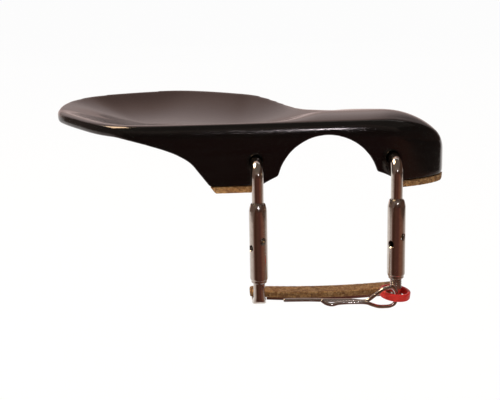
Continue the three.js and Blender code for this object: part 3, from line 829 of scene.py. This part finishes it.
def side_block():
    """The same blocks drawn from the side, with the cove behind the feet."""
    ceiling = REST_HEIGHT + OVERRUN
    rise = COVE_TOP - FOOT_CORK
    bow = [(FOOT_DEPTH + a * COVE_DEPTH, FOOT_CORK + b * rise) for a, b in COVE_BOW]
    cove = bezier((FOOT_DEPTH, FOOT_CORK), *bow, (FOOT_DEPTH + COVE_DEPTH, COVE_TOP), FLANK_STEPS)
    points = [(-OVERRUN - 1, ceiling), (-OVERRUN - 1, FOOT_CORK)] + cove + [(FOOT_DEPTH + COVE_DEPTH, ceiling)]
    width = ARM_REACH + OVERRUN + 1 + CUP_REACH
    return extruded([(-CUP_REACH, y, z) for y, z in points], (width, 0, 0))


def arch_cut():
    """The arch: a level crown, and sides that open towards the back."""
    depth = FOOT_DEPTH + COVE_DEPTH
    rings = []
    for y in (-OVERRUN - 2, depth + OVERRUN):
        radius = ARCH_RADIUS + ARCH_FLARE / depth * y
        angles = [2 * math.pi * i / ARCH_SIDES for i in range(ARCH_SIDES)]
        rings.append([
            Vector((ARCH_OFFSET + radius * math.cos(a), y, ARCH_TOP - radius + radius * math.sin(a)))
            for a in angles
        ])
    return skin_over(rings)


def hook_hole(x, face):
    """A drilled hole with a countersunk mouth."""
    mouth = HOOK_HOLE_RADIUS + HOOK_COUNTERSINK
    profile = [
        (0, -OVERRUN), (mouth, -OVERRUN), (mouth, 0), (HOOK_HOLE_RADIUS, HOOK_COUNTERSINK),
        (HOOK_HOLE_RADIUS, HOOK_HOLE_DEPTH), (0, HOOK_HOLE_DEPTH),
    ]
    return moved(turn_about(turned(profile, HOLE_SIDES), (-90, "X")), (x, face, HOOK_HEIGHT))


def carve_wood():
    """The feet under the plate, cut out by the arch and drilled for the hooks, with softened edges."""
    solid = joined_solid(foot_blocks(), [
        ("INTERSECT", side_block()),
        ("DIFFERENCE", arch_cut()),
        ("UNION", above_underside()),
        ("INTERSECT", plate_column()),
        *(("DIFFERENCE", hook_hole(x, face)) for _, x, face, _, _ in LEGS),
    ])
    return remeshed(solid, WOOD_VOXEL, WOOD_SMOOTHING)


show("carved_ebony_rest", carve_wood(), EBONY, "rest", "chinrest_body")


# Cork pads

def roughened(bm):
    """Granules stand and fall a little over the skin, always inwards from the pad's size."""
    bm.normal_update()
    for vert in bm.verts:
        coarse = noise.noise(vert.co * COARSE_WAVES_PER_MM)
        fine = noise.noise(vert.co * FINE_WAVES_PER_MM)
        vert.co -= vert.normal * CORK_RELIEF * (0.5 + 0.5 * (coarse * 0.5 + fine * 0.5))
    return bm


def foot_cork(inner, outer, slant):
    """A pad under a foot, from its inner to its outer end, cut to the wood's outline."""
    side = math.copysign(1, outer)
    points = [(inner, 0), (outer - side * slant, 0), (outer, FOOT_CORK), (inner, FOOT_CORK)]
    if side < 0:
        points.reverse()
    strip = extruded([(x, -OVERRUN, z) for x, z in points], (0, OVERRUN + FOOT_DEPTH - CORK_INSET, 0))
    return roughened(remeshed(joined_solid(strip, [("INTERSECT", plate_column())]), CORK_VOXEL, CORK_SMOOTHING))


for side, inner, outer, slant in (
    ("left", LEFT_INNER, -LEFT_FOOT_END, LEFT_CORK_SLANT),
    ("right", RIGHT_INNER, ARM_REACH, RIGHT_CORK_SLANT),
):
    show(f"{side}_cork_pad", foot_cork(inner, outer, slant), CORK, "rest", f"{side}_foot_cork")


def crescent():
    """The lower plate's outline from above: a front that bows out, a back that bows in, and rounded ends."""
    front_middle = CRESCENT_FRONT_RADIUS + CRESCENT_FRONT
    back_middle = CRESCENT_BACK_RADIUS + CRESCENT_FRONT + CRESCENT_DEPTH
    reach, inner = CRESCENT_REACH, CRESCENT_REACH - CRESCENT_CORNER
    front = math.asin(reach / CRESCENT_FRONT_RADIUS)
    back = math.asin(inner / CRESCENT_BACK_RADIUS)
    back_y = back_middle - CRESCENT_BACK_RADIUS * math.cos(back)
    side_y = back_y - CRESCENT_CORNER
    points = []
    for step in range(CRESCENT_STEPS + 1):
        a = -front + 2 * front * step / CRESCENT_STEPS
        points.append((CRESCENT_FRONT_RADIUS * math.sin(a), front_middle - CRESCENT_FRONT_RADIUS * math.cos(a)))
    points += bowed((reach, side_y), (reach, back_y), (inner, back_y), CRESCENT_CORNER_STEPS)
    for step in range(1, CRESCENT_STEPS):
        a = back - 2 * back * step / CRESCENT_STEPS
        points.append((CRESCENT_BACK_RADIUS * math.sin(a), back_middle - CRESCENT_BACK_RADIUS * math.cos(a)))
    points += bowed((-inner, back_y), (-reach, back_y), (-reach, side_y), CRESCENT_CORNER_STEPS)
    return points


def lower_cork():
    """The pad that covers the whole lower plate."""
    bottom = -CLAMP_GAP - LOWER_CORK
    bm = extruded([(x, y, bottom) for x, y in crescent()], (0, 0, LOWER_CORK))
    return roughened(remeshed(bm, CORK_VOXEL, CORK_SMOOTHING))


show("lower_cork_pad", lower_cork(), CORK, "lower_clamp", "lower_cork")


# Steel rods, rolled with a thread where they run in the barrels

# The second axis of a ring round an upright rod
FORWARDS = Vector((0, -1, 0))


def thread_radius(angle, height, hand, starts_at, ends_at):
    """Radius of a rolled thread at an angle and height; it fades out over its first and last turn."""
    phase = (height / THREAD_PITCH - hand * angle / (2 * math.pi)) % 1
    groove = 1 - abs(2 * phase - 1)
    fade = min(1, max(0, (starts_at - height) / THREAD_PITCH)) * min(1, max(0, (height - ends_at) / THREAD_PITCH))
    return ROD_RADIUS - THREAD_DEPTH * fade * (1 - smooth(groove * GROOVE_NARROWING))


def rod_angles():
    return [2 * math.pi * (i + 0.5) / ROD_SIDES for i in range(ROD_SIDES)]


def round_ring(x, y, z, up, radius=ROD_RADIUS):
    """A ring round a rod; up is its second axis, beside X, and radius is a number or a function of the angle."""
    ring = []
    for angle in rod_angles():
        r = radius(angle) if callable(radius) else radius
        ring.append(Vector((x + r * math.cos(angle), y, z)) + up * (r * math.sin(angle)))
    return ring


def threaded_run(x, high, low, hand):
    """Rings down a straight threaded stretch of rod, from high to low."""
    steps = int((high - low) / THREAD_PITCH * RINGS_PER_THREAD)
    rings = []
    for step in range(steps + 1):
        z = high + (low - high) * step / steps
        rings.append(round_ring(x, LEG_Y, z, FORWARDS, lambda angle: thread_radius(angle, z, hand, high, low)))
    return rings


def bend_angles():
    return [step / BEND_STEPS * math.pi / 2 for step in range(BEND_STEPS + 1)]


def hook(x, face):
    """An upper rod: chamfered in the wood, bent down in front of its face, and threaded into the barrel."""
    rings = []
    for back, radius in ((0, ROD_TIP_RADIUS), (ROD_CHAMFER, ROD_RADIUS)):
        rings.append(round_ring(x, face + HOOK_INSERT - back, HOOK_HEIGHT, Vector((0, 0, 1)), radius))
    for a in bend_angles():
        y = LEG_Y + HOOK_BEND * (1 - math.sin(a))
        z = HOOK_HEIGHT - HOOK_BEND * (1 - math.cos(a))
        rings.append(round_ring(x, y, z, Vector((0, -math.sin(a), math.cos(a)))))
    rings += threaded_run(x, HOOK_THREAD_TOP, HOOK_END + ROD_CHAMFER, HOOK_HAND)
    rings.append(round_ring(x, LEG_Y, HOOK_END, FORWARDS, THREAD_TIP_RADIUS))
    return skin_over(rings)


def stud(x, thread_end):
    """A lower stud: threaded above, plain below, then forged flat and turned back under the cork."""
    rings = [round_ring(x, LEG_Y, STUD_TOP, FORWARDS, THREAD_TIP_RADIUS)]
    rings += threaded_run(x, STUD_TOP - ROD_CHAMFER, thread_end, STUD_HAND)
    tongue = -CLAMP_GAP - LOWER_CORK - TONGUE_THICKNESS / 2
    start = LEG_Y + STUD_BEND
    bend_top = tongue + STUD_BEND
    places = [
        (start - STUD_BEND * math.cos(a), bend_top - STUD_BEND * math.sin(a), a, smooth(2 * a / math.pi))
        for a in bend_angles()
    ]
    places += [(start + TONGUE_LENGTH - TONGUE_ROUNDING, tongue, math.pi / 2, 1)]
    for y, z, a, flat in places:
        wide = ROD_RADIUS + flat * (TONGUE_WIDTH / 2 - ROD_RADIUS)
        thick = ROD_RADIUS + flat * (TONGUE_THICKNESS / 2 - ROD_RADIUS)
        power = ROUND_POWER + SQUARING * flat
        up = Vector((0, -math.cos(a), -math.sin(a)))
        ring = []
        for angle in rod_angles():
            c, s = math.cos(angle), math.sin(angle)
            boxed = (abs(c) ** power + abs(s) ** power) ** (-1 / power)
            ring.append(Vector((x + wide * c * boxed, y, z)) + up * (thick * s * boxed))
        rings.append(ring)
    # The tongue's end is rounded off
    last = rings[-1]
    middle = sum(last, Vector()) / len(last)
    rings.append([middle + (v - middle) * TONGUE_END_SHARE + Vector((0, TONGUE_ROUNDING, 0)) for v in last])
    return skin_over(rings)


for side, x, face, _, _ in LEGS:
    show(f"{side}_threaded_hook", hook(x, face), NICKEL, "rest", f"{side}_hook")
for side, x, _, thread_end, _ in LEGS:
    show(f"{side}_forged_stud", stud(x, thread_end), NICKEL, "lower_clamp", f"{side}_lower_stud")


# Turned barrels, each drilled across twice for the key

def key_hole():
    """A drill with a small chamfer at both mouths."""
    start, end = DRILL_CHAMFER
    half = [(KEY_HOLE_RADIUS, start), (KEY_HOLE_MOUTH, end), (KEY_HOLE_MOUTH, DRILL_REACH), (0, DRILL_REACH)]
    return turned([(r, -z) for r, z in reversed(half)] + half, HOLE_SIDES)


def barrel(x, turn):
    """A barrel at its place on a leg, turned by some degrees so that its key holes show as in the photo."""
    half = (BARREL_TOP - BARREL_BOTTOM) / 2
    # The lower mouth and the neck, with small chamfers, then a rounded shoulder
    lower = [
        (BORE_RADIUS, MOUTH_CHAMFER_HEIGHT - half), (BORE_RADIUS + LOWER_MOUTH_CHAMFER, -half),
        (NECK_RADIUS - NECK_CHAMFER, NECK_CHAMFER_FOOT - half), (NECK_RADIUS, NECK_CHAMFER_TOP - half),
    ]
    for step in range(SHOULDER_STEPS):
        a = (1 - step / SHOULDER_STEPS) * math.pi / 2
        lower.append((
            NECK_RADIUS + (BARREL_RADIUS - NECK_RADIUS) * math.cos(a),
            SHOULDER_TOP - SHOULDER_HEIGHT * math.sin(a) - half,
        ))
    lower.append((BARREL_RADIUS, SHOULDER_TOP - half))
    # The slim taper, and the chamfered upper mouth
    upper = [
        (BARREL_RADIUS - TAPER_DEPTH * s * (1 + s), half - TAPER_FOOT + TAPER_LENGTH * s)
        for s in (step / TAPER_STEPS for step in range(TAPER_STEPS + 1))
    ]
    upper += [(BORE_RADIUS + UPPER_MOUTH_CHAMFER, half), (BORE_RADIUS, half - MOUTH_CHAMFER_HEIGHT)]
    bm = joined_solid(turned(lower + upper, BARREL_SIDES), [
        ("DIFFERENCE", moved(turn_about(key_hole(), (90, "X")), (0, 0, KEY_HOLE_SPACING / 2))),
        ("DIFFERENCE", moved(turn_about(key_hole(), (90, "Y")), (0, 0, -KEY_HOLE_SPACING / 2))),
    ])
    return moved(turn_about(bm, (turn, "Z")), (x, LEG_Y, (BARREL_TOP + BARREL_BOTTOM) / 2))


def sharpen(piece):
    """The piece's sharp corners keep a hard edge in the shading."""
    bm = bmesh.new()
    bm.from_mesh(piece.data)
    for edge in bm.edges:
        edge.smooth = edge.calc_face_angle(0) < math.radians(HARD_EDGE)
    bm.to_mesh(piece.data)
    bm.free()


for side, x, _, _, turn in LEGS:
    piece = show(
        f"{side}_turned_barrel", barrel(x, turn), NICKEL, f"{side}_barrel_body", f"{side}_barrel",
    )
    sharpen(piece)


# Soft ring, cut from vinyl tube

def vinyl_ring():
    """A short cut of tube with rounded edges and slightly wavy walls, tilted round the right stud."""
    outer, inner = RING_OUTER - RING_EDGE, RING_INNER + RING_EDGE
    level = RING_HEIGHT / 2 - RING_EDGE
    profile = []
    for r, z, start in ((outer, level, 0), (inner, level, 90), (inner, -level, 180), (outer, -level, 270)):
        for step in range(RING_CORNER_STEPS + 1):
            a = math.radians(start + 90 / RING_CORNER_STEPS * step)
            profile.append((r + RING_EDGE * math.cos(a), z + RING_EDGE * math.sin(a)))
    bm = turned(profile, RING_SIDES)
    for vert in bm.verts:
        outwards = Vector((vert.co.x, vert.co.y, 0))
        inside = outwards.length < (RING_INNER + RING_OUTER) / 2
        wave = noise.noise(vert.co * RING_WAVES_PER_MM) * RING_WAVE
        vert.co += outwards.normalized() * (wave + (RING_CLEARANCE if inside else -RING_CLEARANCE))
    return moved(turn_about(bm, (RING_ROLL, "Y"), (RING_PITCH, "X")), RING_MIDDLE)


show("vinyl_ring", vinyl_ring(), VINYL, "ring", "key_ring")


# Key, bent from one length of wire

def wire_key():
    """The wire's skin along its route; each ring's axes follow on from the last one's, so nothing twists."""
    route = through([[s * size for s, size in zip(row, KEY_SIZE)] for row in KEY_ROUTE], KEY_STEPS)
    rings = []
    across = Vector((0, 1, 0))
    for i, spot in enumerate(route):
        ahead = (route[min(i + 1, KEY_STEPS)] - route[max(i - 1, 0)]).normalized()
        across = (across - ahead * across.dot(ahead)).normalized()
        third = ahead.cross(across)
        radius = KEY_WIRE * (KEY_TIP_SHARE if i in (0, KEY_STEPS) else 1)
        angles = [2 * math.pi * k / KEY_SIDES for k in range(KEY_SIDES)]
        rings.append([spot + (across * math.cos(a) + third * math.sin(a)) * radius for a in angles])
    return moved(skin_over(rings), RING_MIDDLE)


show("bent_wire_key", wire_key(), NICKEL, "key", "barrel_key")

# The plate under the lower cork keeps its CAD shape.
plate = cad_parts["foot_plate"]
plate.data.materials.clear()
plate.data.materials.append(NICKEL)


# Studio, in metres: a white floor well below the held object, pale air, a large softbox high on the left, a small
# lamp just over the lens, and cards round it that only the gloss of steel and ebony shows

def stage_plane(name, width, depth, place, turn, material):
    """A flat sheet that isn't part of the object."""
    bm = bmesh.new()
    bmesh.ops.create_grid(bm, x_segments=1, y_segments=1, size=0.5)
    bmesh.ops.scale(bm, vec=(width, depth, 1), verts=bm.verts)
    bmesh.ops.rotate(bm, cent=(0, 0, 0), matrix=turn, verts=bm.verts)
    mesh = bpy.data.meshes.new(name)
    moved(bm, place).to_mesh(mesh)
    bm.free()
    mesh.materials.append(material)
    piece = bpy.data.objects.new(name, mesh)
    bpy.context.scene.collection.objects.link(piece)
    return piece


def seen_white(tree):
    """1 for what the lens sees straight, or in gloss or glass, and 0 for the light on matt surfaces."""
    path = add(tree, "ShaderNodeLightPath")
    seen = path.outputs["Is Camera Ray"]
    for kind in ("Is Glossy Ray", "Is Transmission Ray"):
        either = add(tree, "ShaderNodeMath", {"operation": "MAXIMUM"}, {0: seen, 1: path.outputs[kind]})
        seen = either.outputs["Value"]
    return seen


def paper_white():
    """Plain paper: white to the lens and in gloss, and it keeps the object's soft shadow."""
    material, tree = new_material("paper_white")
    paper = add(tree, "ShaderNodeBsdfPrincipled", {"Base Color": linear("#f8f8f8"), "Roughness": 0.9})
    glow = add(tree, "ShaderNodeEmission", {"Color": linear("#ffffff"), "Strength": 1})
    # What is left of the paper under the glow carries the shadow
    seen = add(tree, "ShaderNodeMath", {"operation": "MULTIPLY", 1: 0.93}, {0: seen_white(tree)})
    return surfaced(material, add(
        tree, "ShaderNodeMixShader",
        links={0: seen.outputs["Value"], 1: paper.outputs["BSDF"], 2: glow.outputs["Emission"]},
    ))


def card(name, width, depth, place, turn, colours):
    """A card that only gloss shows; colours makes what it glows in from its tree."""
    material, tree = new_material(name)
    glow = add(tree, "ShaderNodeEmission", {"Strength": 1}, {"Color": colours(tree)})
    piece = stage_plane(name, width, depth, place, turn, surfaced(material, glow))
    piece.visible_camera = False
    piece.visible_diffuse = False
    piece.visible_shadow = False
    piece.visible_transmission = False


def round_the_clamp(stops):
    """Colours by direction, from the left round by the front and the right to the back."""
    def colours(tree):
        spot = add(tree, "ShaderNodeTexCoord").outputs["Object"]
        turn = add(tree, "ShaderNodeTexGradient", {"gradient_type": "RADIAL"}, {"Vector": spot})
        return ramp(tree, turn.outputs["Fac"], stops)
    return colours


def upwards(low, high, stops, dims_from=9):
    """Colours by height, which dim to the right of a place; by default that place is past every card."""
    def colours(tree):
        spot = add(tree, "ShaderNodeTexCoord").outputs["Object"]
        parts = add(tree, "ShaderNodeSeparateXYZ", links={"Vector": spot})
        along = add(tree, "ShaderNodeMapRange", {"From Min": low, "From Max": high}, {"Value": parts.outputs["Z"]})
        dim = add(
            tree, "ShaderNodeMapRange",
            {"From Min": dims_from, "From Max": dims_from + 0.5, "To Min": 1, "To Max": 0.3},
            {"Value": parts.outputs["X"]},
        )
        return add(
            tree, "ShaderNodeMix", {"data_type": "RGBA", "blend_type": "MULTIPLY", "Factor": 1},
            {"A": ramp(tree, along.outputs["Result"], stops), "B": dim.outputs["Result"]},
        ).outputs["Result"]
    return colours


def one_colour(colour):
    return upwards(0, 1, [(0, colour), (1, colour)])


FLAT = Matrix.Identity(3)
UPRIGHT = Matrix.Rotation(math.pi / 2, 3, "X")
SIDEWAYS = Matrix.Rotation(math.pi / 2, 3, "Y")
FLOOR = -0.12
stage_plane("studio_floor", 8, 8, (0, 0, FLOOR), FLAT, paper_white())
card("floor_card", 3, 3, (0, 0, -0.118), FLAT, round_the_clamp([
    (0, "#d0c4be"), (0.036, "#baaca6"), (0.08, "#6a4a40"), (0.12, "#40281e"), (0.2, "#56382e"), (0.3, "#5a3630"),
    (0.36, "#7a5040"), (0.46, "#806052"), (0.54, "#b0a49e"), (0.66, "#f6f2f0"), (0.86, "#f6f2f0"),
    (0.96, "#d8ccc8"),
]))
card("front_card", 3, 1.1, (0, -1.4, 0.43), UPRIGHT, upwards(FLOOR, 0.98, [
    (0, "#4a2d23"), (0.35, "#4a342b"), (0.8, "#84756d"),
]))
card("left_card", 0.5, 0.95, (-0.53, -0.03, 0.15), SIDEWAYS, one_colour("#6a5850"))
card("right_card", 1.72, 2.6, (1.2, -0.1, 0.74), SIDEWAYS, upwards(FLOOR, 0.98, [(0, "#5a4238"), (1, "#463730")]))
card("ceiling_card", 3, 1.64, (0, -0.57, 0.95), FLAT, one_colour("#6a5f58"))
card("back_card", 4, 3.6, (0, 1.3, 1.6), UPRIGHT, upwards(-0.2, 3.4, [
    (0, "#ffe8e2"), (0.09, "#ffe6e0"), (0.135, "#dcc2bc"), (0.16, "#dcc2bc"), (0.2, "#ffeae6"),
    (0.32, "#ffe6e2"), (0.46, "#f0cfc6"), (0.65, "#d4b0a6"),
], 0.2))
card("right_floor_card", 1, 1.4, (1.02, -0.2, -0.117), FLAT, one_colour("#46362f"))

world = bpy.data.worlds.new("studio_air")
world.use_nodes = True
bpy.context.scene.world = world
air = world.node_tree
air.nodes.clear()
pale = add(air, "ShaderNodeBackground", {"Color": linear("#ffffff"), "Strength": 0.66})
white = add(air, "ShaderNodeBackground", {"Color": linear("#ffffff"), "Strength": 1})
blend = add(
    air, "ShaderNodeMixShader",
    links={0: seen_white(air), 1: pale.outputs["Background"], 2: white.outputs["Background"]},
)
add(air, "ShaderNodeOutputWorld", links={"Surface": blend.outputs["Shader"]})


def toward(azimuth, elevation, distance):
    """A place at an azimuth, from the front round to the right, and an elevation from the clamp."""
    a, e = math.radians(azimuth), math.radians(elevation)
    return (distance * math.sin(a) * math.cos(e), -distance * math.cos(a) * math.cos(e), distance * math.sin(e))


def soft_lamp(name, place, width, height, power, colour):
    """A rectangular lamp that points at the clamp."""
    data = bpy.data.lights.new(name, "AREA")
    data.shape = "RECTANGLE"
    data.size = width
    data.size_y = height
    data.energy = power
    data.color = linear(colour)[:3]
    lamp = bpy.data.objects.new(name, data)
    bpy.context.scene.collection.objects.link(lamp)
    lamp.location = place
    lamp.rotation_mode = "QUATERNION"
    lamp.rotation_quaternion = (-Vector(place)).to_track_quat("-Z", "Y")


soft_lamp("left_softbox", toward(-98, 54, 0.8), 0.34, 0.4, 6.4, "#ffe2ba")
soft_lamp("lens_lamp", toward(6.5, 17, 0.9), 0.025, 0.05, 0.27, "#f4f4ff")

bpy.context.scene.view_settings.view_transform = "Standard"
